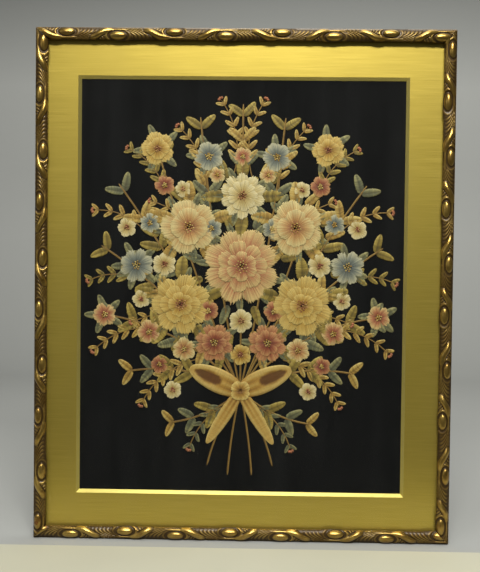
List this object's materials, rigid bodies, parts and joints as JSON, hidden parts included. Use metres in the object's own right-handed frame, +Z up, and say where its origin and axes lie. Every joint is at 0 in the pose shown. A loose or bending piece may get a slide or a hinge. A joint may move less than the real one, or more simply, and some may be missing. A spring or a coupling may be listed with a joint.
{
  "type": "needlework picture in a carved frame",
  "caption": "Upright needlework picture: a stitched floral spray on black cloth, behind glass in a bevelled gilt mount and a carved gilt frame.",
  "frame": {"origin": "on the surface the frame stands on, under the middle of its outer box", "axes": "+Z up along the picture's height, +X to the right of someone looking at its front, and the front faces -Y"},
  "size_m": [0.684, 0.028, 0.838],
  "materials": {
    "carved_gilt": "old gilding over brown bole, worn and dark in the hollows",
    "glass": "thin clear picture glass",
    "mount_gilt": "satin gilding with a fine sideways brushed texture",
    "black_cloth": "matt black pile cloth",
    "needlework_thread": "silk and wool threads in golds, creams, dusty reds and blue-greens",
    "back_board": "plain brown board"
  },
  "bodies": {
    "root": {"rail_top": "carved_gilt", "rail_right": "carved_gilt", "rail_bottom": "carved_gilt", "rail_left": "carved_gilt", "glass": "glass", "window_mount": "mount_gilt", "ground_cloth": "black_cloth", "needlework": "needlework_thread", "back_board": "back_board"}
  },
  "joints": []
}
